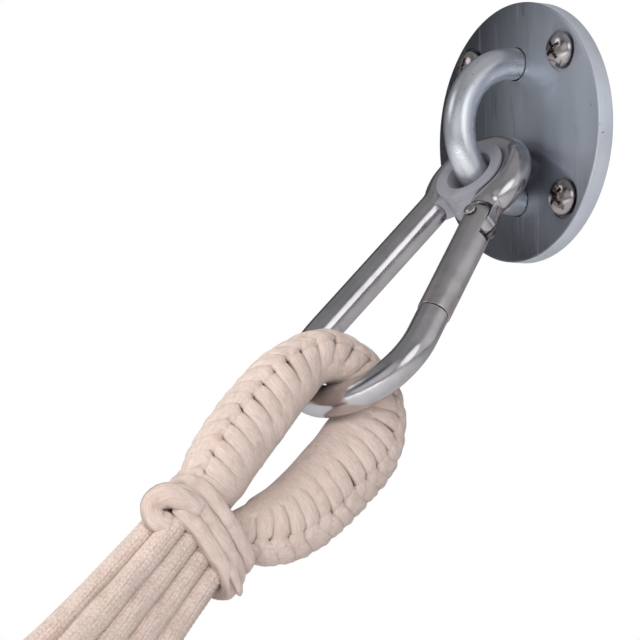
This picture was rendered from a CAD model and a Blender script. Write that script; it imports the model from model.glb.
import math

import bmesh
import bpy
import numpy as np
from mathutils import Matrix, Vector


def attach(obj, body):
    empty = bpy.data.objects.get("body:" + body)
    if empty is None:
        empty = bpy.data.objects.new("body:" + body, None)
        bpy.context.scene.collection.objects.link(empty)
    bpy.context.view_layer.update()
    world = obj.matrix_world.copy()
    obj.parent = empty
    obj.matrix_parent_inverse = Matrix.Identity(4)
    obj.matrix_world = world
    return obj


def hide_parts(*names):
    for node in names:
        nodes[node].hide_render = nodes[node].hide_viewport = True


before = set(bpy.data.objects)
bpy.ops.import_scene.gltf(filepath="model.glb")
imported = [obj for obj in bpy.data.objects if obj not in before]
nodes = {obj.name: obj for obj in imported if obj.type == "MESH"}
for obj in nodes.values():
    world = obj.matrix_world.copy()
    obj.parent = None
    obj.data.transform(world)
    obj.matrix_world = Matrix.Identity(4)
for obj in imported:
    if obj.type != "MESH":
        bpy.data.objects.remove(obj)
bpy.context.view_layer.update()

rng = np.random.default_rng(7)

# ---------------------------------------------------------------- the part's own frames and sizes, in metres
PLATE_RADIUS, PLATE_THICKNESS = 0.041, 0.006
SCREW_PITCH, SCREW_HOLE, SEAT_RADIUS, SEAT_DEPTH = 0.046, 0.0034, 0.0067, 0.0006
HEAD_RADIUS, HEAD_HEIGHT, SHANK_RADIUS, SCREW_REACH = 0.0058, 0.0040, 0.0030, 0.0042
ROD, STAPLE_RADIUS, STAPLE_STRAIGHT = 0.005, 0.0215, 0.0011
WIRE, NARROW, WIDE = 0.005, 0.0139, 0.0232
ARM_START, ARM_SPREAD, NECK_RADIUS = 0.0094, math.radians(11.7), 0.008
PIVOT, LATCH = 0.017, 0.0562
GATE, GATE_NOSE = 0.0053, 0.0063
EYELET_REACH, SLING_SHIFT = 0.0225, 0.001
HOOK_FALL, HOOK_TWIST, PULL_FALL = math.radians(49.6), math.radians(8.7), math.radians(47.0)

along = Vector((0, -math.cos(HOOK_FALL), -math.sin(HOOK_FALL)))
level = Vector((1, 0, 0))
square = level.cross(along)
across = level * math.cos(HOOK_TWIST) + square * math.sin(HOOK_TWIST)
normal = across.cross(along)


def frame_matrix(x_axis, y_axis, z_axis, origin):
    matrix = Matrix((x_axis, y_axis, z_axis)).transposed().to_4x4()
    matrix.translation = origin
    return matrix


def arm_point(s, out=0.0):
    """A point of the hook's plane: s along its arm, and out to the arm's outer side."""
    u = ARM_START + s * math.sin(ARM_SPREAD) + out * math.cos(ARM_SPREAD)
    return (u, s * math.cos(ARM_SPREAD) - out * math.sin(ARM_SPREAD))


WALL = Matrix.Rotation(math.pi / 2, 4, "X")
eyelet_at = Vector((0, -(PLATE_THICKNESS + STAPLE_STRAIGHT), 0)) + EYELET_REACH * along
HOOK = frame_matrix(across, along, normal, eyelet_at)
WIDE_CENTRE = (WIDE - ARM_START * math.cos(ARM_SPREAD)) / math.sin(ARM_SPREAD)
gate_along = across * math.sin(ARM_SPREAD) + along * math.cos(ARM_SPREAD)
gate_out = across * math.cos(ARM_SPREAD) - along * math.sin(ARM_SPREAD)
GATE_FRAME = frame_matrix(gate_out, -normal, gate_along, HOOK @ Vector((*arm_point(PIVOT), 0)))
bend_at = HOOK @ Vector((0, WIDE_CENTRE + WIDE, 0))
pull = Vector((0, -math.cos(PULL_FALL), -math.sin(PULL_FALL)))
rise = Vector((0, -math.sin(PULL_FALL), math.cos(PULL_FALL)))
SLING = frame_matrix(level, rise, pull, bend_at + SLING_SHIFT * level)

# ---------------------------------------------------------------- camera
camera = bpy.data.objects.new("camera", bpy.data.cameras.new("camera"))
bpy.context.scene.collection.objects.link(camera)
right = Vector((0.57508, 0.81799, -0.01290)).normalized()
up = Vector((0.08473, -0.04387, 0.99544)).normalized()
back = right.cross(up).normalized()
up = back.cross(right)
camera.matrix_world = frame_matrix(right, up, back, Vector((1.11176, -0.86624, -0.19181)))
camera.data.lens, camera.data.sensor_width = 253.7, 36.0
camera.data.clip_start, camera.data.clip_end = 0.05, 50
bpy.context.scene.camera = camera
bpy.context.scene.view_settings.view_transform = "Standard"


# ---------------------------------------------------------------- light
def area(name, at, look, size, power):
    """A white rectangular lamp that doesn't show in reflections."""
    data = bpy.data.lights.new(name, "AREA")
    data.shape, data.size, data.size_y, data.energy = "RECTANGLE", *size, power
    lamp = bpy.data.objects.new(name, data)
    bpy.context.scene.collection.objects.link(lamp)
    lamp.visible_glossy = False
    lamp.location = at
    lamp.rotation_mode = "QUATERNION"
    lamp.rotation_quaternion = (Vector(look) - Vector(at)).to_track_quat("-Z", "Y")


MIDDLE = (0, -0.08, -0.08)
area("key", (-0.35, -1.35, 1.25), MIDDLE, (0.7, 0.55), 17)
area("side", (1.30, -0.75, 0.75), MIDDLE, (0.30, 0.9), 10)
area("low_fill", (0.5, -1.1, -0.30), MIDDLE, (1.0, 0.2), 5)

# The camera sees white paper. Everything else sees a grey room with a few bright panels, set by direction.
world = bpy.data.worlds.new("studio")
bpy.context.scene.world = world
world.use_nodes = True
wn, wl = world.node_tree.nodes, world.node_tree.links
wn.clear()
out = wn.new("ShaderNodeOutputWorld")
mix = wn.new("ShaderNodeMixShader")
paper = wn.new("ShaderNodeBackground")
paper.inputs[0].default_value = (1, 1, 1, 1)
room = wn.new("ShaderNodeBackground")
path = wn.new("ShaderNodeLightPath")
where = wn.new("ShaderNodeTexCoord")


def panel(direction, outer, inner, strength):
    """A soft round panel: its strength inside the inner angle, nothing past the outer one, in degrees."""
    dot = wn.new("ShaderNodeVectorMath")
    dot.operation = "DOT_PRODUCT"
    wl.new(where.outputs["Generated"], dot.inputs[0])
    dot.inputs[1].default_value = Vector(direction).normalized()
    fade = wn.new("ShaderNodeMapRange")
    fade.interpolation_type = "SMOOTHSTEP"
    fade.inputs["From Min"].default_value = math.cos(math.radians(outer))
    fade.inputs["From Max"].default_value = math.cos(math.radians(inner))
    fade.inputs["To Min"].default_value = 0
    fade.inputs["To Max"].default_value = strength
    wl.new(dot.outputs["Value"], fade.inputs["Value"])
    return fade.outputs[0]


ROOM_GREY = 0.27
# Each panel: direction, outer and inner angle in degrees, strength. A negative strength darkens the room.
PANELS = (
    ((0.97, -0.12, 0.24), 22, 10, 1.25),
    ((0.72, 0.60, 0.05), 52, 15, 0.45),
    ((0.35, 0.05, 0.94), 40, 15, 0.12),
    ((0.50, -0.86, 0.06), 34, 20, 0.42),
    ((-0.40, -0.77, 0.49), 15, 9, 1.20),
    ((-0.20, -0.95, -0.24), 12, 7, 1.30),
    ((-0.23, -0.65, -0.72), 17, 9, -0.22),
    ((0.16, -0.86, 0.48), 17, 9, -0.20),
    ((-0.94, 0.10, 0.30), 34, 14, -0.18),
    ((0.20, 0.86, -0.48), 26, 8, -0.08),
)
total = None
for spec in PANELS:
    plus = wn.new("ShaderNodeMath")
    wl.new(panel(*spec), plus.inputs[0])
    if total is None:
        plus.inputs[1].default_value = ROOM_GREY
    else:
        wl.new(total, plus.inputs[1])
    total = plus.outputs[0]
wl.new(total, room.inputs["Strength"])
room.inputs[0].default_value = (0.95, 0.97, 1.0, 1)
wl.new(path.outputs["Is Camera Ray"], mix.inputs[0])
wl.new(room.outputs[0], mix.inputs[1])
wl.new(paper.outputs[0], mix.inputs[2])
wl.new(mix.outputs[0], out.inputs[0])


# ---------------------------------------------------------------- materials
class Paint:
    """A material and short ways to add its nodes."""

    def __init__(self, name, roughness=0.5, metallic=0.0):
        self.material = bpy.data.materials.new(name)
        self.material.use_nodes = True
        self.nodes, self.links = self.material.node_tree.nodes, self.material.node_tree.links
        self.shader = self.nodes["Principled BSDF"]
        self.shader.inputs["Roughness"].default_value = roughness
        self.shader.inputs["Metallic"].default_value = metallic
        self.bump_out = None

    def add(self, kind, **inputs):
        node = self.nodes.new("ShaderNode" + kind)
        for key, value in inputs.items():
            node.inputs[key.replace("_", " ")].default_value = value
        return node

    def link(self, a, b):
        self.links.new(a, b)
        return b.node

    def place(self, scale=(1, 1, 1), source="Object"):
        where = self.add("TexCoord")
        fit = self.add("Mapping", Scale=scale)
        self.link(where.outputs[source], fit.inputs["Vector"])
        return fit.outputs[0]

    def noise(self, scale, coords, detail=4, rough=0.6):
        node = self.add("TexNoise", Scale=scale, Detail=detail, Roughness=rough)
        self.link(coords, node.inputs["Vector"])
        return node.outputs["Fac"]

    def ramp(self, value, *stops):
        node = self.add("ValToRGB")
        ramp = node.color_ramp
        while len(ramp.elements) < len(stops):
            ramp.elements.new(0.5)
        for element, (where, colour) in zip(ramp.elements, stops):
            element.position = where
            element.color = (*colour, 1)
        self.link(value, node.inputs["Fac"])
        return node.outputs["Color"]

    def grey(self, value, low, high, to_low, to_high):
        """The value, clamped to low..high and mapped to to_low..to_high."""
        node = self.add("MapRange")
        for key, number in zip(("From Min", "From Max", "To Min", "To Max"), (low, high, to_low, to_high)):
            node.inputs[key].default_value = number
        self.link(value, node.inputs["Value"])
        return node.outputs[0]

    def mix(self, fac, a, b, blend="MIX"):
        node = self.nodes.new("ShaderNodeMix")
        node.data_type, node.blend_type = "RGBA", blend
        for socket, value in ((node.inputs[0], fac), (node.inputs[6], a), (node.inputs[7], b)):
            if isinstance(value, (int, float)):
                socket.default_value = value
            elif isinstance(value, tuple):
                socket.default_value = (*value, 1)
            else:
                self.link(value, socket)
        return node.outputs[2]

    def colour(self, value):
        self.link(value, self.shader.inputs["Base Color"])

    def rough(self, value):
        self.link(value, self.shader.inputs["Roughness"])

    def bump(self, height, strength, distance):
        node = self.add("Bump", Strength=strength, Distance=distance)
        self.link(height, node.inputs["Height"])
        if self.bump_out:
            self.link(self.bump_out, node.inputs["Normal"])
        self.bump_out = node.outputs["Normal"]
        self.link(self.bump_out, self.shader.inputs["Normal"])

    def attribute(self, name):
        node = self.add("Attribute")
        node.attribute_name = name
        return node.outputs["Fac"]


LIGHT_SPOT, LIGHT_SPOT_RADII = (0.030, 0.0, 0.009), (0.020, 0.056)


def zinc_paint():
    paint = Paint("zinc_plate", 0.42, 1.0)
    body, tall = paint.place(), paint.place((1.0, 1.0, 0.22))
    blotch = paint.noise(42, tall, 5, 0.62)
    cloud = paint.noise(16, body, 3)
    base = paint.ramp(blotch, (0.3, (0.47, 0.50, 0.575)), (0.7, (0.66, 0.70, 0.78)))
    # The plate is light round one spot at its right and darker away from it.
    offset = paint.add("VectorMath")
    offset.operation = "DISTANCE"
    offset.inputs[1].default_value = LIGHT_SPOT
    paint.link(body, offset.inputs[0])
    tarnish = paint.grey(offset.outputs["Value"], *LIGHT_SPOT_RADII, 1.05, 0.20)
    base = paint.mix(1.0, base, tarnish, "MULTIPLY")
    base = paint.mix(paint.grey(cloud, 0.35, 0.7, 0, 0.16), base, (0.50, 0.54, 0.61))
    dust = paint.noise(1500, body, 2)
    base = paint.mix(paint.grey(dust, 0.66, 0.74, 0, 0.5), base, (0.72, 0.75, 0.80))
    pits = paint.noise(520, paint.place((1, 1, 0.6)), 3)
    base = paint.mix(paint.grey(pits, 0.24, 0.31, 0.7, 0), base, (0.10, 0.11, 0.13))
    lines = paint.noise(900, paint.place((1.0, 1.0, 0.05)), 3)
    base = paint.mix(paint.grey(lines, 0.58, 0.72, 0, 0.35), base, (0.66, 0.70, 0.77))
    marks = paint.noise(260, paint.place((1.0, 1.0, 0.16)), 4)
    base = paint.mix(paint.grey(marks, 0.30, 0.40, 0.45, 0), base, (0.10, 0.11, 0.14))
    paint.colour(base)
    paint.rough(paint.grey(blotch, 0.3, 0.75, 0.30, 0.44))
    paint.bump(paint.noise(300, tall, 4), 0.10, 0.0002)
    return paint.material


def rim_paint():
    paint = Paint("zinc_rim", 0.4, 0.45)
    body = paint.place()
    cloud = paint.noise(50, body, 4)
    base = paint.ramp(cloud, (0.3, (0.50, 0.52, 0.58)), (0.7, (0.62, 0.64, 0.70)))
    pits = paint.noise(480, body, 3)
    paint.colour(paint.mix(paint.grey(pits, 0.24, 0.31, 0.8, 0), base, (0.14, 0.14, 0.16)))
    paint.bump(paint.noise(400, body, 4), 0.10, 0.0002)
    return paint.material


def rod_paint():
    paint = Paint("satin_rod", 0.3, 0.95)
    body = paint.place()
    cloud = paint.noise(60, body, 4)
    base = paint.ramp(cloud, (0.3, (0.66, 0.68, 0.72)), (0.7, (0.80, 0.82, 0.86)))
    pits = paint.noise(900, body, 3)
    base = paint.mix(paint.grey(pits, 0.26, 0.34, 0.75, 0), base, (0.16, 0.16, 0.18))
    paint.colour(base)
    paint.rough(paint.grey(cloud, 0.3, 0.7, 0.24, 0.36))
    paint.bump(paint.noise(420, body, 4), 0.12, 0.0002)
    return paint.material


def steel_paint(name, dark, light, rough_low, rough_high, metallic=1.0, grain=0.05):
    """Polished or satin metal with soft blotches, a few dark pits and faint marks."""
    paint = Paint(name, rough_low, metallic)
    body = paint.place()
    cloud = paint.noise(70, body, 4)
    base = paint.ramp(cloud, (0.32, dark), (0.68, light))
    pits = paint.noise(700, body, 2)
    base = paint.mix(paint.grey(pits, 0.22, 0.27, 0.8, 0), base, (0.09, 0.08, 0.08))
    tint = paint.noise(55, paint.place((1.3, 1, 1)), 3)
    brown = tuple(0.62 * c * t for c, t in zip(dark, (1.1, 0.95, 0.78)))
    base = paint.mix(paint.grey(tint, 0.55, 0.70, 0, 0.45), base, brown)
    paint.colour(base)
    paint.rough(paint.grey(cloud, 0.3, 0.7, rough_low, rough_high))
    paint.bump(paint.noise(500, body, 3), grain, 0.0002)
    paint.bump(paint.noise(130, body, 2), 2.2 * grain, 0.0008)
    return paint.material


COTTON_TONES = ((0.745, 0.60, 0.53), (0.64, 0.505, 0.44), (0.43, 0.29, 0.215))


def rope_paint(name, tone=1.0):
    """Natural cotton. The fibres run along U, and the attribute "crease" is 1 at the bottom of a groove."""
    paint = Paint(name, 0.92, 0.0)
    paint.shader.inputs["Sheen Weight"].default_value = 0.25
    paint.shader.inputs["Sheen Roughness"].default_value = 0.5
    paint.shader.inputs["Specular IOR Level"].default_value = 0.2
    along_cord = paint.place((260, 2400, 1), "UV")
    fibre = paint.noise(1.0, along_cord, 5, 0.7)
    body = paint.place()
    cloud = paint.noise(75, body, 4)
    light, mid, dark = [tuple(tone * c for c in colour) for colour in COTTON_TONES]
    base = paint.ramp(cloud, (0.3, mid), (0.72, light))
    base = paint.mix(paint.grey(fibre, 0.28, 0.60, 0.55, 0), base, tuple(0.55 * c for c in mid))
    stain = paint.noise(190, body, 4)
    base = paint.mix(paint.grey(stain, 0.56, 0.72, 0, 0.45), base, dark)
    fleck = paint.noise(1300, body, 2)
    base = paint.mix(paint.grey(fleck, 0.24, 0.30, 0.7, 0), base, (0.20, 0.12, 0.08))
    crease = paint.attribute("crease")
    base = paint.mix(paint.grey(crease, 0.2, 0.85, 0, 0.95), base, (0.17, 0.09, 0.06))
    paint.colour(base)
    paint.bump(fibre, 0.7, 0.0005)
    paint.bump(paint.noise(700, body, 5, 0.7), 0.6, 0.0005)
    return paint.material


ZINC = zinc_paint()
RIM = rim_paint()
ROD_METAL = rod_paint()
NICKEL = steel_paint("bright_nickel", (0.34, 0.30, 0.295), (0.62, 0.57, 0.565), 0.12, 0.22)
CHROME = steel_paint("polished_steel", (0.54, 0.51, 0.52), (0.68, 0.65, 0.67), 0.13, 0.22, grain=0.06)
SATIN = steel_paint("satin_steel", (0.50, 0.465, 0.475), (0.61, 0.575, 0.585), 0.28, 0.38)
MATT = steel_paint("matt_steel", (0.42, 0.41, 0.455), (0.52, 0.51, 0.555), 0.45, 0.6, 0.7)
SPRING = steel_paint("spring_steel", (0.40, 0.38, 0.36), (0.55, 0.53, 0.50), 0.25, 0.4)
COTTON = rope_paint("natural_cotton")
COTTON_CORE = rope_paint("cotton_core", 0.55)


# ---------------------------------------------------------------- shape helpers
def helper(name, data):
    obj = bpy.data.objects.new(name, data)
    bpy.context.scene.collection.objects.link(obj)
    return obj


def show(name, mesh, material, matrix=None, angle=35):
    """The object of a visible piece. Edges steeper than the angle, in degrees, stay sharp."""
    obj = helper(name, mesh)
    if matrix is not None:
        mesh.transform(matrix)
    mesh.materials.clear()
    mesh.materials.append(material)
    mesh.shade_smooth()
    mesh.set_sharp_from_angle(angle=math.radians(angle))
    return obj


def baked(obj, weld=0.000002):
    """The object's evaluated mesh. The object is removed."""
    bpy.context.view_layer.update()
    graph = bpy.context.evaluated_depsgraph_get()
    mesh = bpy.data.meshes.new_from_object(obj.evaluated_get(graph))
    mesh.transform(obj.matrix_world)
    work = bmesh.new()
    work.from_mesh(mesh)
    bmesh.ops.remove_doubles(work, verts=work.verts, dist=weld)
    bmesh.ops.recalc_face_normals(work, faces=work.faces)
    work.to_mesh(mesh)
    work.free()
    bpy.data.objects.remove(obj, do_unlink=True)
    return mesh


def carve(mesh, *steps):
    """The mesh after Booleans, each step a (operation, mesh) pair. Everything is in the same space."""
    obj = helper("carve", mesh)
    tools = []
    for operation, other in steps:
        tool = helper("tool", other)
        step = obj.modifiers.new("step", "BOOLEAN")
        step.operation, step.object = operation, tool
        tools.append(tool)
    made = baked(obj)
    for tool in tools:
        bpy.data.objects.remove(tool, do_unlink=True)
    return made


def less(*tools):
    """Steps for carve that take each tool away."""
    return [("DIFFERENCE", tool) for tool in tools]


def rounded(mesh, width, segments=2, angle=40):
    obj = helper("rounded", mesh)
    edge = obj.modifiers.new("edge", "BEVEL")
    edge.width, edge.segments = width, segments
    edge.limit_method, edge.angle_limit = "ANGLE", math.radians(angle)
    return baked(obj)


def rod(points, radius, sides=10):
    """A capped round tube along the points."""
    curve = bpy.data.curves.new("rod", "CURVE")
    curve.dimensions, curve.use_fill_caps = "3D", True
    curve.bevel_depth, curve.bevel_resolution = radius, sides
    spline = curve.splines.new("POLY")
    spline.points.add(len(points) - 1)
    for point, at in zip(spline.points, points):
        point.co = (*at, 1)
    return baked(helper("rod", curve))


def lathe(profile, steps=64):
    """A closed shape turned about Z from (radius, height) points, top to bottom."""
    mesh = bpy.data.meshes.new("lathe")
    work = bmesh.new()
    rings = []
    for radius, height in profile:
        if radius == 0:
            rings.append([work.verts.new((0, 0, height))])
            continue
        turns = [2 * math.pi * k / steps for k in range(steps)]
        rings.append([work.verts.new((radius * math.cos(t), radius * math.sin(t), height)) for t in turns])
    for one, other in zip(rings, rings[1:]):
        for k in range(steps):
            a, b = one[k % len(one)], one[(k + 1) % len(one)]
            c, d = other[(k + 1) % len(other)], other[k % len(other)]
            corners = [v for n, v in enumerate((a, b, c, d)) if v not in (a, b, c, d)[:n]]
            work.faces.new(corners)
    bmesh.ops.recalc_face_normals(work, faces=work.faces)
    work.to_mesh(mesh)
    work.free()
    return mesh


def block(low, high):
    """A box between two opposite corners."""
    mesh = bpy.data.meshes.new("block")
    work = bmesh.new()
    bmesh.ops.create_cube(work, size=1.0)
    bmesh.ops.scale(work, vec=Vector(high) - Vector(low), verts=work.verts)
    bmesh.ops.translate(work, vec=(Vector(low) + Vector(high)) / 2, verts=work.verts)
    work.to_mesh(mesh)
    work.free()
    return mesh


def drum(radius, low, high, at=(0, 0), steps=48):
    """A cylinder along Z, from low to high."""
    mesh = lathe([(0, high), (radius, high), (radius, low), (0, low)], steps)
    mesh.transform(Matrix.Translation((*at, 0)))
    return mesh


def slab(outline, half):
    """A flat plate with this outline in the XY plane, half to each side."""
    mesh = bpy.data.meshes.new("slab")
    work = bmesh.new()
    face = work.faces.new([work.verts.new((x, y, -half)) for x, y in outline])
    top = bmesh.ops.extrude_face_region(work, geom=[face])
    raised = [v for v in top["geom"] if isinstance(v, bmesh.types.BMVert)]
    bmesh.ops.translate(work, vec=(0, 0, 2 * half), verts=raised)
    bmesh.ops.recalc_face_normals(work, faces=work.faces)
    work.to_mesh(mesh)
    work.free()
    return mesh


def arc(centre, radius, start, end, count):
    angles = [start + (end - start) * k / (count - 1) for k in range(count)]
    return [(centre[0] + radius * math.cos(a), centre[1] + radius * math.sin(a)) for a in angles]


def smooth_path(points, per_span):
    """A Catmull-Rom line through the points, with per_span steps from each point to the next."""
    ends = [points[0], *points, points[-1]]
    out = []
    for index in range(len(points) - 1):
        p, q, r, s = [np.array(x, float) for x in ends[index : index + 4]]
        for step in range(per_span):
            t = step / per_span
            square_part = (2 * p - 5 * q + 4 * r - s) * t * t
            cube_part = (3 * q - p - 3 * r + s) * t**3
            out.append(0.5 * (2 * q + (r - p) * t + square_part + cube_part))
    out.append(np.array(points[-1], float))
    return np.array(out)


def run_along(line):
    """The distance along the line of each of its points."""
    return np.concatenate([[0], np.cumsum(np.linalg.norm(np.diff(line, axis=0), axis=1))])


def unit(vectors):
    return vectors / np.linalg.norm(vectors, axis=1)[:, None]


def ring_angles(count):
    return 2 * math.pi * np.arange(count) / count


def resample(points, step):
    """The same line with a point every step, and the distance along it of each point."""
    points = np.asarray(points, float)
    run = run_along(points)
    count = max(2, int(round(run[-1] / step)) + 1)
    at = np.linspace(0, run[-1], count)
    return np.stack([np.interp(at, run, points[:, k]) for k in range(points.shape[1])], 1), at


def tube_rows(line, turn, spread, one, other, widen=1.0):
    """Rings of points round the line, spread away from it, and wider by widen along the direction other."""
    sines = np.sin(turn)[None, :] * np.broadcast_to(widen, len(line))[:, None]
    return line[:, None, :] + spread[..., None] * (
        np.cos(turn)[None, :, None] * one[:, None, :] + sines[..., None] * other[:, None, :]
    )


def strip_uv(run, width):
    """The UVs of a tube's grid: the distance along it, then the distance round it."""
    return np.stack(np.meshgrid(run, width, indexing="ij"), -1)


def soft_square(theta):
    """A circle's cosines and sines, swollen towards a square: the outline of a flattened cord."""
    c, s = np.cos(theta), np.sin(theta)
    return np.sign(c) * np.abs(c) ** 0.85, np.sign(s) * np.abs(s) ** 0.95


def grid_mesh(name, rows, uv, crease, cap=True):
    """A tube from a grid of points (rows, sides, 3). uv is 2 wide, and crease has one value for each point."""
    rows = np.asarray(rows, float)
    n, m, _ = rows.shape
    i, j = np.meshgrid(np.arange(n - 1), np.arange(m), indexing="ij")
    k = (j + 1) % m
    faces = np.stack([i * m + j, i * m + k, (i + 1) * m + k, (i + 1) * m + j], -1).reshape(-1, 4)
    polys = [tuple(int(x) for x in f) for f in faces]
    if cap:
        polys.append(tuple(range(m - 1, -1, -1)))
        polys.append(tuple(range((n - 1) * m, n * m)))
    mesh = bpy.data.meshes.new(name)
    mesh.from_pydata(rows.reshape(-1, 3).tolist(), [], polys)
    loops = np.empty(len(mesh.loops), np.int32)
    mesh.loops.foreach_get("vertex_index", loops)
    layer = mesh.uv_layers.new(name="UVMap")
    layer.data.foreach_set("uv", np.asarray(uv, float).reshape(-1, 2)[loops].ravel())
    layer = mesh.attributes.new("crease", "FLOAT", "POINT")
    layer.data.foreach_set("value", np.asarray(crease, float).ravel())
    work = bmesh.new()
    work.from_mesh(mesh)
    bmesh.ops.recalc_face_normals(work, faces=work.faces)
    work.to_mesh(mesh)
    work.free()
    return mesh


def merged(name, meshes):
    """One mesh from several, with their UVs and attributes."""
    work = bmesh.new()
    for mesh in meshes:
        work.from_mesh(mesh)
    made = bpy.data.meshes.new(name)
    work.to_mesh(made)
    work.free()
    return made


def frames_along(line, side):
    """Two unit cross directions at each point, the first as near to side as can be."""
    tangent = unit(np.gradient(line, axis=0))
    one = unit(np.asarray(side, float) - tangent * (tangent @ np.asarray(side, float))[:, None])
    return one, np.cross(tangent, one)


# ---------------------------------------------------------------- cords
NECK_W, CORD_RADIUS, CORD_PITCH, ROW_STEP = 0.0070, 0.0031, 0.0063, 0.0057
CORD_START, FAN, FAN_LEVEL, END_FAN = 0.0640, 34.0, 0.0740, 9.0
KNOT_LEAD, KNOT_STEP, KNOT_RADIUS = 0.0100, 0.0112, 0.0050
CORD_SPANS, CORD_WIDEST = 12, 1.22
CORD_STEP, CORD_SIDES, CORD_TWIST = 0.00033, 90, 9.0
CORD_NOSE, CORD_NARROWING = 0.0028, 0.006
STITCH_COLUMNS, STITCH_LENGTH, STITCH_SLANT, STITCH_HEIGHT = 10, 0.0017, 0.42, 0.00030
KNOT_SIDES = 20
# Each row of cords, and how far down each of its knots sits, in steps.
LEVELS = {1: (0.0, 0.3, 0.1, 0.4), 0: (1.2, 1.0, 1.4, 1.1, 1.3), -1: (2.3, 2.1, 2.4, 2.2)}


def to_world(points, matrix):
    m = np.array(matrix)
    return np.asarray(points, float) @ m[:3, :3].T + m[:3, 3]


def cord_route(x, across_w, level_up):
    """A cord's line in the sling's frame, fanning out on the way down, and its width at each point."""
    fall, lean = math.sin(PULL_FALL), math.cos(PULL_FALL)
    fan_from = (FAN_LEVEL + lean * (NECK_W + 1.3 * across_w)) / fall
    end = fan_from + KNOT_LEAD + level_up * KNOT_STEP
    route, widths = [], []
    for step in range(CORD_SPANS + 1):
        d = CORD_START + (end - CORD_START) * step / CORD_SPANS
        grow = 1.0 + FAN * (d - CORD_START) ** 1.6 + END_FAN * max(0.0, d - fan_from)
        route.append((x * grow, NECK_W + across_w * grow, d))
        widths.append(min(CORD_WIDEST, max(1.0, 0.505 * CORD_PITCH * grow / CORD_RADIUS)))
    return route, widths


def hash_of(name):
    return sum(ord(c) * (k + 3) for k, c in enumerate(name)) % 97


def knit_cord(name, line, radius, widths):
    """A knitted cotton cord: columns of V stitches round a tube, with rounded ends."""
    line, at = resample(line, CORD_STEP)
    one, other = frames_along(line, (1, 0, 0))
    turn = ring_angles(CORD_SIDES)
    column = (turn[None, :] + at[:, None] * CORD_TWIST) * STITCH_COLUMNS / (2 * math.pi)
    from_middle = np.abs(2 * (column - np.floor(column)) - 1)
    wave = at[:, None] / STITCH_LENGTH - STITCH_SLANT * from_middle + 0.5 * np.floor(column)
    lobe = np.abs(np.cos(math.pi * wave)) ** 0.7
    groove = np.clip(1 - from_middle**6, 0, 1) * np.clip((from_middle / 0.16) ** 0.8, 0.45, 1)
    height = lobe * groove
    lump = 0.00008 * np.sin(at[:, None] * 210 + turn[None, :] * 2 + hash_of(name))
    spread = radius + 0.00004 + STITCH_HEIGHT * height + lump
    widen = np.interp(at, np.linspace(0, at[-1], len(widths)), widths)
    to_end = at[-1] - at
    widen = np.where(to_end < CORD_NARROWING, 1 + (widen - 1) * to_end / CORD_NARROWING, widen)
    nose = np.clip((at + 0.0002) / CORD_NOSE, 0, 1)
    spread = spread * np.sqrt(1 - (1 - nose[:, None]) ** 2)
    crease = 0.55 * np.clip(1 - height * 1.25, 0, 1) ** 1.8
    return grid_mesh(name, tube_rows(line, turn, spread, one, other, widen), strip_uv(at, turn * radius), crease)


def knot_mesh(centre, direction, radius):
    """An overhand stopper knot in the cord's end, with a short tail."""
    spin = Vector(direction).normalized().to_track_quat("Z", "Y").to_matrix().to_4x4()
    spin.translation = Vector(centre)
    t = np.linspace(0, 2 * math.pi, 121)[:-1]
    strand = 0.45 * radius
    ring = np.stack([np.sin(t) + 2 * np.sin(2 * t), np.cos(t) - 2 * np.cos(2 * t), -1.25 * np.sin(3 * t)], 1)
    ring *= (radius - strand) / 3.0
    tail = smooth_path(radius * np.array([[0, 0, -0.9], [0.1, 0, 0], [0.15, 0.05, 1.2]]), 14)
    turn = ring_angles(KNOT_SIDES)
    meshes = []
    for line, shut in ((np.concatenate([ring, ring[:1]]), True), (tail, False)):
        tangent = np.gradient(line, axis=0)
        if shut:
            tangent[0] = tangent[-1] = line[1] - line[-2]
        tangent = unit(tangent)
        guide = np.array([0.3, 0.2, 1.0]) if shut else np.array([1.0, 0.2, 0.1])
        one = unit(np.cross(tangent, guide))
        run = run_along(line)
        ply = np.cos(3 * turn[None, :] - run[:, None] / strand * 1.3)
        spread = strand * (1 + 0.10 * ply)
        if not shut:
            tip = np.clip((run[-1] - run) / strand, 0, 1)
            spread = spread * (0.25 + 0.75 * np.sqrt(1 - (1 - tip[:, None]) ** 2))
        rows = tube_rows(line, turn, spread, one, np.cross(tangent, one))
        crease = np.clip(0.5 - 0.5 * ply, 0, 1) ** 2 * 0.5
        meshes.append(grid_mesh("knot", rows, strip_uv(run, turn * strand), crease, cap=not shut))
    made = merged("knot", meshes)
    made.transform(spin)
    return made


number = 0
for row, count in ((1, 4), (0, 5), (-1, 4)):
    for index in range(count):
        number += 1
        across_w = (index - (count - 1) / 2) * CORD_PITCH
        route, widths = cord_route(row * ROW_STEP, across_w, LEVELS[row][index])
        line = to_world(route, SLING)
        fine, _ = resample(smooth_path(line, 6), 0.0012)
        cord_name = f"clew_rope_{number:02d}"
        cord = show(cord_name, knit_cord(cord_name, fine, CORD_RADIUS, widths), COTTON, angle=180)
        onward = line[-1] - line[-2]
        onward /= np.linalg.norm(onward)
        at = line[-1] + (KNOT_RADIUS - 0.0001) * onward
        knot = show(f"stopper_knot_{number:02d}", knot_mesh(at, onward, KNOT_RADIUS), COTTON, angle=180)
        length = float(np.linalg.norm(np.diff(fine, axis=0), axis=1).sum())
        for piece, node in ((cord, f"clew_cord_{number:02d}"), (knot, f"cord_knot_{number:02d}")):
            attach(piece, "sling")
            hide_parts(node)

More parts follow.
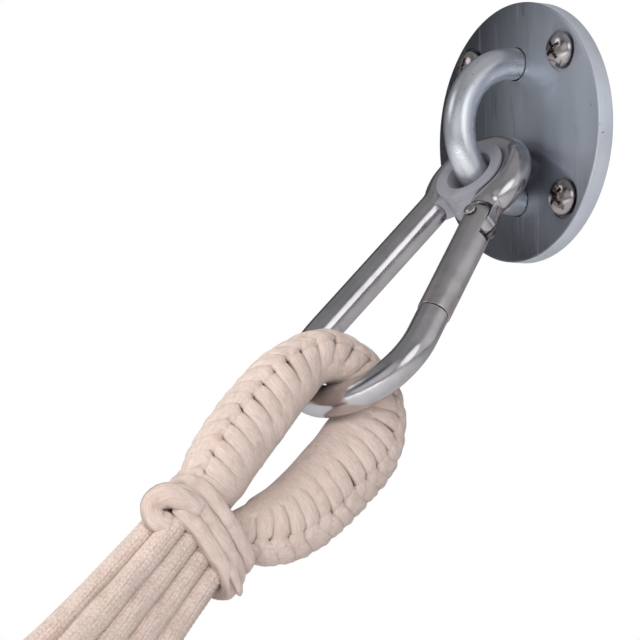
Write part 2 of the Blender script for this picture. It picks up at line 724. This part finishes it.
# ---------------------------------------------------------------- wall plate, staple, screws
half = SCREW_PITCH / 2
corners = {
    "upper_right": (half, half),
    "upper_left": (-half, half),
    "lower_right": (half, -half),
    "lower_left": (-half, -half),
}
disc = lathe([(0, PLATE_THICKNESS), (PLATE_RADIUS, PLATE_THICKNESS), (PLATE_RADIUS, 0), (0, 0)], 192)
disc = rounded(disc, 0.0006, 3)
cuts = [drum(ROD + 0.0003, -0.001, 0.01, (0, side * STAPLE_RADIUS), 64) for side in (-1, 1)]
for at in corners.values():
    cuts.append(drum(SCREW_HOLE, -0.001, 0.01, at))
    cuts.append(drum(SEAT_RADIUS, PLATE_THICKNESS - SEAT_DEPTH, 0.01, at, 64))
plate = show("plate_disc", carve(disc, *less(*cuts)), ZINC, WALL, 30)
plate.data.materials.append(RIM)
for face in plate.data.polygons:
    edge = math.hypot(face.center.x, face.center.z) > PLATE_RADIUS - 0.0003
    face.material_index = 1 if edge and abs(face.normal.y) < 0.7 else 0
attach(plate, "wall")
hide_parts("wall_plate")

front = PLATE_THICKNESS + STAPLE_STRAIGHT
bend = arc((0.0, front), STAPLE_RADIUS, math.pi, 0.0, 90)
staple_line = [(0, z, y) for z, y in [(-STAPLE_RADIUS, 0.0003), *bend, (STAPLE_RADIUS, 0.0003)]]
staple = show("staple_rod", rod(staple_line, ROD, 14), ROD_METAL, WALL)
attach(staple, "wall")
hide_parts("staple_eye")

RECESS_REACH, RECESS_HALF, RECESS_FLOOR, ABOVE_HEAD = 0.0033, 0.00065, 0.0014, 0.006
THREAD_PITCH, THREAD_DEPTH, HEAD_EDGE = 0.001, 0.00045, 0.0007
seat = PLATE_THICKNESS - SEAT_DEPTH + 0.0003
dome = [(0.0, HEAD_HEIGHT)]
for k in range(1, 13):
    a = math.pi / 2 * k / 12
    dome.append((HEAD_RADIUS * math.sin(a) ** 0.92, HEAD_EDGE + (HEAD_HEIGHT - HEAD_EDGE) * math.cos(a)))
tip = -(seat + SCREW_REACH)
shank = [(HEAD_RADIUS, 0.0003), (HEAD_RADIUS - 0.0003, 0.0), (SHANK_RADIUS, 0.0)]
z = -0.0004
while z > tip + 0.0008:
    shank += [(SHANK_RADIUS, z), (SHANK_RADIUS - THREAD_DEPTH, z - THREAD_PITCH / 2)]
    z -= THREAD_PITCH
shank += [(SHANK_RADIUS - 0.0006, tip), (0.0, tip)]
for index, (name, at) in enumerate(corners.items()):
    wing = block((-RECESS_REACH, -RECESS_HALF, RECESS_FLOOR), (RECESS_REACH, RECESS_HALF, ABOVE_HEAD))
    wing2 = block((-RECESS_HALF, -RECESS_REACH, RECESS_FLOOR), (RECESS_HALF, RECESS_REACH, ABOVE_HEAD))
    well_profile = [(0, ABOVE_HEAD), (0.0014, ABOVE_HEAD), (0.0014, RECESS_FLOOR), (0.0006, 0.0008), (0, 0.0007)]
    turn = Matrix.Rotation(0.5 + 0.9 * index, 4, "Z")
    for tool in (wing, wing2):
        tool.transform(turn)
    head = carve(lathe([*dome, *shank]), *less(wing, wing2, lathe(well_profile, 24)))
    placed = WALL @ Matrix.Translation((*at, seat))
    screw = show(f"pan_screw_{name}", rounded(head, 0.00012, 2, 50), NICKEL, placed, 40)
    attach(screw, "wall")
    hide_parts(f"screw_{name}")


# ---------------------------------------------------------------- snap hook
def hook_line(gate_start, nose_along, fine=4):
    """The wire's centre line in the hook's plane, from the gate's hinge round both bends to the nose."""
    reach = ARM_START * math.cos(ARM_SPREAD)
    climb = math.sqrt((NARROW + NECK_RADIUS) ** 2 - (reach + NECK_RADIUS) ** 2)
    tilt = math.atan2(climb, reach + NECK_RADIUS)
    foot = climb - ARM_START * math.sin(ARM_SPREAD)
    centre = arm_point(foot, NECK_RADIUS)
    fillet = arc(centre, NECK_RADIUS, math.pi - ARM_SPREAD, math.pi - ARM_SPREAD + tilt, 6 * fine)
    mirrored = [(-u, v) for u, v in reversed(fillet)]
    begin = -ARM_SPREAD + tilt
    narrow = arc((0.0, 0.0), NARROW, begin, -math.pi - begin, 24 * fine)
    wide = arc((0.0, WIDE_CENTRE), WIDE, math.pi + ARM_SPREAD, -ARM_SPREAD, 26 * fine)
    line = [arm_point(gate_start)] if gate_start > foot + 0.0005 else []
    line += [*fillet, *narrow[1:-1], *mirrored, *wide, arm_point(nose_along)]
    return [(u, v, 0.0) for u, v in line]


TONGUE_RADIUS, TONGUE_HALF, PIN_HOLE = 0.0049, 0.0020, 0.0020
wire = rod(hook_line(PIVOT - 0.002, LATCH + 0.0006), WIRE, 14)
to_hook = HOOK.inverted() @ GATE_FRAME
ball_turns = [math.pi * k / 24 for k in range(1, 24)]
ball = lathe([(0, 1), *[(math.sin(a), math.cos(a)) for a in ball_turns], (0, -1)], 48)
ball.transform(to_hook @ Matrix.Scale(GATE_NOSE + 0.0004, 4))
root = PIVOT - 0.0100
tongue_tip = arc(arm_point(PIVOT), TONGUE_RADIUS, -ARM_SPREAD, math.pi - ARM_SPREAD, 32)
tongue = slab([arm_point(root, -0.0040), arm_point(root, TONGUE_RADIUS), *tongue_tip], TONGUE_HALF)
pin_hole = drum(PIN_HOLE, -0.012, 0.012, arm_point(PIVOT), 32)
groove = block((-0.008, -0.0016, LATCH - PIVOT), (-0.0017, 0.0016, LATCH - PIVOT + 0.0038))
groove.transform(to_hook)
hook_mesh = carve(wire, *less(ball), ("UNION", tongue), *less(pin_hole, groove))
hook = show("snap_hook", hook_mesh, CHROME, HOOK, 30)
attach(hook, "hook")
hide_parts("hook_body")

THIMBLE_BORE, THIMBLE_FLARE, THIMBLE_OUTER, THIMBLE_HALF = 0.0063, 0.0016, 0.0118, 0.0057
levels = [k / 14 - 1 for k in range(29)]
hole = [(THIMBLE_BORE + THIMBLE_FLARE * up_it**2, up_it * THIMBLE_HALF) for up_it in levels]
ring = lathe([hole[-1], (THIMBLE_OUTER, THIMBLE_HALF), (THIMBLE_OUTER, -THIMBLE_HALF), *hole], 96)
web_top = arc((0.0, 0.0), 0.0085, 0.85 * math.pi, 0.15 * math.pi, 14)
web_low = [
    (0.0085, 0.0150), (0.0055, 0.0168), (0.0034, 0.0128), (-0.0010, 0.0108), (-0.0050, 0.0110), (-0.0085, 0.0128)
]
room_for_wire = rod(hook_line(0.040, 0.050, 3), WIRE + 0.0002, 10)
thimble_mesh = carve(ring, ("UNION", slab([*web_top, *web_low], 0.0036)), *less(room_for_wire))
thimble = show("thimble_ring", rounded(thimble_mesh, 0.0004, 2, 50), MATT, HOOK, 35)
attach(thimble, "hook")
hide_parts("hook_thimble")

RIVET_RADIUS, RIVET_SHANK, RIVET_DOME = 0.0022, 0.0017, 0.0009
reach = GATE + 0.00035
quarter = [math.pi / 2 * k / 8 for k in range(9)]
cap = [(RIVET_RADIUS * math.sin(a), reach + 0.0001 + RIVET_DOME * math.cos(a)) for a in quarter]
cap[0] = (0.0, reach + 0.0001 + RIVET_DOME)
body = [(RIVET_SHANK, reach), (RIVET_SHANK, -reach)]
rivet_mesh = lathe([*cap, *body, *[(r, -h) for r, h in reversed(cap)]], 40)
rivet = show("rivet_dome", rivet_mesh, NICKEL, HOOK @ Matrix.Translation((*arm_point(PIVOT), 0)))
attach(rivet, "hook")
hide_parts("gate_rivet")

TONGUE_ROOM, STOP_PIN, STOP_PIN_AT = 0.0023, 0.0012, -0.0034
length = LATCH - PIVOT + 0.0003
turns = [math.pi / 2 * k / 14 for k in range(15)]
nose = [(GATE * math.sin(a), -GATE_NOSE * math.cos(a)) for a in turns]
nose[0] = (0.0, -GATE_NOSE)
gate_end = [(0.0, length), (GATE - 0.0005, length), (GATE - 0.00015, length - 0.00015), (GATE, length - 0.0005)]
slot = block((-0.008, -TONGUE_ROOM, -0.008), (0.008, TONGUE_ROOM, 0.0076))
gate_hole = drum(PIN_HOLE, -0.012, 0.012, (0, 0), 32)
gate_hole.transform(Matrix.Rotation(math.pi / 2, 4, "X"))
gate_bore = drum(0.0022, 0.006, 0.0142, (0, 0), 24)
stop_bore = drum(0.0015, length - 0.0080, length + 0.001, (STOP_PIN_AT, 0), 24)
gate_mesh = carve(lathe([*gate_end, *reversed(nose)]), *less(slot, gate_hole, gate_bore, stop_bore))
gate = show("gate_lever", gate_mesh, SATIN, GATE_FRAME, 30)
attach(gate, "gate")
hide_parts("hook_gate")

COIL_RADIUS, COIL_FROM, COIL_LENGTH, COIL_TURNS, COIL_STEPS = 0.0015, 0.0042, 0.0096, 6, 24
coil = []
for k in range(COIL_TURNS * COIL_STEPS + 1):
    a = 2 * math.pi * k / COIL_STEPS
    climb = COIL_LENGTH * k / (COIL_TURNS * COIL_STEPS)
    coil.append((COIL_RADIUS * math.cos(a), COIL_RADIUS * math.sin(a), COIL_FROM + climb))
spring = show("gate_coil", rod(coil, 0.0003, 2), SPRING, GATE_FRAME)
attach(spring, "gate")
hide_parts("gate_spring")
pin_top = length + 0.0030
pin_profile = [(0.0, pin_top), (0.0009, pin_top), (STOP_PIN, pin_top - 0.0003), (STOP_PIN, length - 0.0076)]
pin_profile.append((0, length - 0.0076))
pin = show("gate_peg", lathe(pin_profile, 32), NICKEL, GATE_FRAME @ Matrix.Translation((STOP_PIN_AT, 0, 0)))
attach(pin, "gate")
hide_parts("gate_stop_pin")

# ---------------------------------------------------------------- wrapped rope eye
# The rope's centre line (down the pull, then along the rise) and its radius, in the sling's frame.
EYE_PATH = [
    (0.0600, 0.0108, 0.0080), (0.0540, 0.0113, 0.0078), (0.0470, 0.0134, 0.0100), (0.0390, 0.0148, 0.0105),
    (0.0290, 0.0154, 0.0107), (0.0180, 0.0155, 0.0105), (0.0070, 0.0152, 0.0098), (-0.0025, 0.0137, 0.0081),
    (-0.0088, 0.0101, 0.0078), (-0.0127, 0.0040, 0.0076), (-0.0138, -0.0034, 0.0081), (-0.0120, -0.0103, 0.0092),
    (-0.0066, -0.0157, 0.0106), (0.0025, -0.0182, 0.0121), (0.0140, -0.0177, 0.0124), (0.0250, -0.0167, 0.0122),
    (0.0360, -0.0144, 0.0118), (0.0450, -0.0102, 0.0108), (0.0520, -0.0049, 0.0077), (0.0600, -0.0036, 0.0078),
]
eye, eye_at = resample(smooth_path(EYE_PATH, 20), 0.0002)
eye_length = eye_at[-1]
eye_tangent = unit(np.gradient(eye[:, :2], axis=0))
wire_line = to_world(to_world(hook_line(PIVOT, LATCH, 2), HOOK), SLING.inverted())
ROPE_GAP, PULL_SHARE, PULL_REACH = 0.0006, 0.7, 0.0030


def on_eye(s, turn, lift):
    """Points in the sling's frame from distance along the eye, turn round it and lift off its radius.

    The turn is 0 at +X and 90 degrees outwards. The rope's inner side is pulled onto the hook's wire.
    """
    d = np.interp(s, eye_at, eye[:, 0])
    w = np.interp(s, eye_at, eye[:, 1])
    td = np.interp(s, eye_at, eye_tangent[:, 0])
    tw = np.interp(s, eye_at, eye_tangent[:, 1])
    size = np.hypot(td, tw)
    r = np.interp(s, eye_at, eye[:, 2]) + lift
    x = r * np.cos(turn)
    outward = r * np.sin(turn)
    points = np.stack([x, w - outward * td / size, d + outward * tw / size], -1)
    flat = points.reshape(-1, 3)
    gaps = np.linalg.norm(flat[:, None, :] - wire_line[None, :, :], axis=2)
    nearest = gaps.argmin(1)
    distance = gaps[np.arange(len(flat)), nearest]
    inner = np.clip((-np.sin(np.broadcast_to(turn, x.shape)).ravel() + 0.15) / 0.5, 0, 1)
    room = distance - (WIRE + ROPE_GAP)
    pull_in = inner * np.where(room > 0, room * PULL_SHARE * np.exp(-((room / PULL_REACH) ** 2)), room)
    towards = (wire_line[nearest] - flat) / distance[:, None]
    return (flat + towards * pull_in[:, None]).reshape(points.shape)


WRAP_PITCH, WRAP_THICK, WRAP_LEAD, WRAP_SWEEP = 0.0054, 0.00165, 0.30, 2 * math.pi + 0.62
WRAP_POINTS, WRAP_SIDES = 90, 28
RIDGE_FROM, RIDGE_FALL, RIDGE_OUT, RIDGE_HALF_TURN = 49, 34, 0.60, 0.52
RIDGE_POINTS, RIDGE_SIDES, UNDER_POINTS, UNDER_SIDES = 900, 56, 240, 96
wrap_from, wrap_to = 0.0105, eye_length - 0.0060


def ridge_turn(s):
    """The ridge's turn round the eye, in radians, at a distance along it."""
    return np.radians(RIDGE_FROM - RIDGE_FALL * np.clip((s - 0.05) / (eye_length - 0.10), 0, 1))


wraps = []
theta = ring_angles(WRAP_SIDES)
flat, tall = soft_square(theta)
tau = np.linspace(0, 1, WRAP_POINTS)
swept = tau * WRAP_SWEEP
ending = np.clip((tau - 0.93) / 0.07, 0, 1)
starting = np.clip(1 - tau / 0.06, 0, 1)
hump = np.sin(math.pi * np.clip((tau - 0.86) / 0.12, 0, 1))
lean = WRAP_PITCH * (0.86 * np.clip(swept / 1.9, 0, 1) ** 1.1 + 0.14 * swept / (2 * math.pi))
bulge = np.exp(-(((swept - 1.05) / 0.62) ** 2))
width_at = np.interp(swept, [0, 0.5, 1.2, 2.4, 5.2, 6.2], [0.92, 0.98, 1.02, 1.14, 1.18, 1.02])
crease_at = np.interp(swept, [0, 0.4, 1.2, 2.0, 5.0, 6.0, 6.9], [0.9, 1.0, 0.7, 0.1, 0.35, 0.35, 0.1])
thick = WRAP_THICK * (1 + 0.10 * bulge) * (1 - 0.35 * ending) * (1 - 0.35 * starting)
crease = np.clip(np.abs(flat[None, :]) ** 5 + 0.25 * (starting + ending)[:, None], 0, 1) * crease_at[:, None]
for k in range(int((wrap_to - wrap_from) / WRAP_PITCH) + 2):
    s0 = wrap_from + k * WRAP_PITCH
    jitter = rng.normal(0, 1, 4)
    s_line = s0 - lean + 0.00025 * jitter[0] + 0.0003 * np.sin(swept * 1.3 + jitter[1])
    s_line = s_line - 0.0016 * ending + 0.0010 * starting
    lift = -WRAP_THICK + 0.00020 * np.sin(swept * 2 + jitter[2])
    lift = lift - 0.0013 * starting**1.2 + 0.0005 * hump - 0.0012 * ending**2
    wide = 0.5 * WRAP_PITCH * (1.10 + 0.03 * jitter[3] + 0.10 * bulge)
    wide = wide * (1 - 0.45 * starting) * (1 - 0.5 * ending) * width_at
    fibre = 0.00007 * np.sin(theta[None, :] * 7 + swept[:, None] * 9 + 11 * jitter[1])
    rows = on_eye(
        np.clip(s_line[:, None] + wide[:, None] * flat[None, :], 0, eye_length),
        np.repeat((ridge_turn(s0) + WRAP_LEAD - swept)[:, None], WRAP_SIDES, 1),
        lift[:, None] + thick[:, None] * tall[None, :] + fibre,
    )
    wraps.append(grid_mesh("wrap", rows, strip_uv(swept * 0.011 + k * 0.05, theta * 0.003), crease))

# The ridge: the strand that locks the hitches lies along the outer side, one diagonal fold to each wrap.
along_s = np.linspace(wrap_from - 0.004, wrap_to + 0.003, RIDGE_POINTS)
theta = ring_angles(RIDGE_SIDES)
c, sn = np.cos(theta)[None, :], np.sin(theta)[None, :]
phase = np.mod(along_s[:, None] / WRAP_PITCH + 0.42 * c + 0.12 * np.sin(along_s[:, None] * 330), 1.0)
fold = np.sin(math.pi * phase**0.62) ** 0.8
reach_in = 1 + np.where(c < 0, 0.30, 0.0) * (fold - 0.45)
lift = -0.0012 + 0.0020 * np.sign(sn) * np.abs(sn) ** 0.75 * (0.80 + 0.26 * fold)
lift = lift + 0.00010 * np.sin(along_s[:, None] * 1900 + 9 * c)
rows = on_eye(
    np.repeat(along_s[:, None], RIDGE_SIDES, 1),
    ridge_turn(along_s)[:, None] + RIDGE_OUT + RIDGE_HALF_TURN * c * reach_in,
    lift,
)
crease = np.clip(1 - fold * 2.2, 0, 1) * 0.50 * (sn > 0.1) * (c < 0.2) + 0.45 * (c < -0.97)
wraps.append(grid_mesh("ridge", rows, strip_uv(along_s, theta * 0.004), crease))

# The tube under the wraps: it rises to their level where they lie flat, and stays below them elsewhere.
along_s = np.linspace(wrap_from - 0.003, wrap_to + 0.003, UNDER_POINTS)
theta = ring_angles(UNDER_SIDES)
passed = np.mod(ridge_turn(along_s)[:, None] + WRAP_LEAD - theta[None, :], 2 * math.pi)
fill = np.clip((passed - 0.65) / 0.8, 0, 1) * np.clip((3.7 - passed) / 0.8, 0, 1)
fill = fill * fill * (3 - 2 * fill)
rows = on_eye(
    np.repeat(along_s[:, None], UNDER_SIDES, 1),
    np.repeat(theta[None, :], UNDER_POINTS, 0),
    -0.0022 + 0.00222 * fill,
)
wraps.append(grid_mesh("under", rows, strip_uv(along_s, theta * 0.01)[..., ::-1], 0.95 * (1 - fill)))
eye_obj = show("eye_wrapping", merged("eye_wrapping", wraps), COTTON, SLING, 180)
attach(eye_obj, "sling")
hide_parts("eye_wrap")
nodes["eye_core"].data.materials.clear()
nodes["eye_core"].data.materials.append(COTTON_CORE)


# ---------------------------------------------------------------- seizing
def flat_strand(name, line, up_hint, half_wide, half_thick, sides=24, seed=0.0, crease_gain=0.7):
    """A flattened soft cord along a line, its flat side facing along up_hint, an array of directions."""
    tangent = unit(np.gradient(line, axis=0))
    up_dir = unit(up_hint - tangent * np.sum(tangent * up_hint, axis=1)[:, None])
    side = np.cross(tangent, up_dir)
    theta = ring_angles(sides)
    flat, tall = soft_square(theta)
    run = run_along(line)
    ripple = 1 + 0.05 * np.sin(theta[None, :] * 6 + run[:, None] * 900 + seed)
    near_end = np.clip(np.minimum(run, run[-1] - run) / 0.0022, 0, 1)
    blunt = 0.15 + 0.85 * np.sqrt(1 - (1 - near_end) ** 2)
    half_wide = half_wide * blunt * (1 + 0.06 * np.sin(run * 500 + seed))
    half_thick = half_thick * blunt * (1 + 0.08 * np.sin(run * 380 + 2 * seed))
    rows = (
        line[:, None, :]
        + (half_wide[:, None] * flat[None, :] * ripple)[..., None] * side[:, None, :]
        + (half_thick[:, None] * tall[None, :] * ripple)[..., None] * up_dir[:, None, :]
    )
    crease = np.repeat((np.abs(flat) ** 5)[None, :] * crease_gain, len(run), 0)
    return grid_mesh(name, rows, strip_uv(run, theta * 0.003), crease)


TURNS, TURN_STEPS, BAND_WIDE, BAND_THICK = 3, 60, 0.0029, 0.0024
S_MIDDLE, S_HALF_W, S_HALF_X, S_SQUARE, S_SHEAR = 0.0050, 0.0152, 0.0090, 0.75, 0.20
share = np.arange(TURNS * TURN_STEPS + 1) / (TURNS * TURN_STEPS)
turn = 2 * math.pi * TURNS * share + 0.35 * math.pi
near = np.sign(np.cos(turn)) * np.abs(np.cos(turn)) ** S_SQUARE
high = np.sign(np.sin(turn)) * np.abs(np.sin(turn)) ** S_SQUARE
size = 1 + 0.10 * share
w = S_MIDDLE + S_HALF_W * high * size
d = 0.0508 + 0.0132 * share + 0.0007 * np.sin(turn * 0.7) - S_SHEAR * (w - 0.020)
line = np.stack([S_HALF_X * near * size, w, d], 1)
outward = np.stack([near / S_HALF_X, high / S_HALF_W, 0 * d], 1)
band = flat_strand("band", line, outward, BAND_WIDE, BAND_THICK, 36, crease_gain=0.5)
seizing = show("neck_binding", band, COTTON, SLING, 180)
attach(seizing, "sling")
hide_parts("neck_seizing")

FOLD = [
    (0.0090, 0.0140, 0.0610), (0.0086, 0.0200, 0.0622), (0.0066, 0.0252, 0.0648),
    (0.0040, 0.0258, 0.0690), (0.0044, 0.0215, 0.0712), (0.0060, 0.0170, 0.0690),
]
fold = smooth_path(FOLD, 10)
hint = np.repeat(np.array([[1.0, 0.35, 0.2]]), len(fold), 0)
bump_mesh = flat_strand("fold", fold, hint, 0.0035, 0.0030, 36, seed=2.0, crease_gain=0.5)
bump = show("seizing_fold", bump_mesh, COTTON, SLING, 180)
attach(bump, "sling")
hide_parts("seizing_knot")
TAIL = [
    (0.0090, -0.0020, 0.0655), (0.0105, -0.0060, 0.0675), (0.0112, -0.0092, 0.0692), (0.0108, -0.0118, 0.0705)
]
tail_line = smooth_path(TAIL, 8)
hint = np.repeat(np.array([[1.0, -0.3, 0]]), len(tail_line), 0)
taper = np.linspace(1, 0.25, len(tail_line)) ** 0.7
tail_mesh = flat_strand("tail", tail_line, hint, 0.0024 * taper, 0.0018 * taper, seed=4.0)
tail = show("seizing_end", tail_mesh, COTTON, SLING, 180)
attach(tail, "sling")
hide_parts("seizing_tail")

# ---------------------------------------------------------------- floor
floor_mesh = bpy.data.meshes.new("floor")
FLOOR_HALF, FLOOR_AT = 8, -0.42
corner_signs = ((-1, -1), (1, -1), (1, 1), (-1, 1))
floor_mesh.from_pydata([(FLOOR_HALF * x, FLOOR_HALF * y, 0) for x, y in corner_signs], [], [(0, 1, 2, 3)])
floor = helper("floor", floor_mesh)
floor.location = (0, 0, FLOOR_AT)
floor_paint = Paint("pale_floor", 0.7)
cloud = floor_paint.noise(3, floor_paint.place())
floor_paint.colour(floor_paint.ramp(cloud, (0.3, (0.86, 0.86, 0.86)), (0.7, (0.90, 0.90, 0.90))))
floor_mesh.materials.append(floor_paint.material)
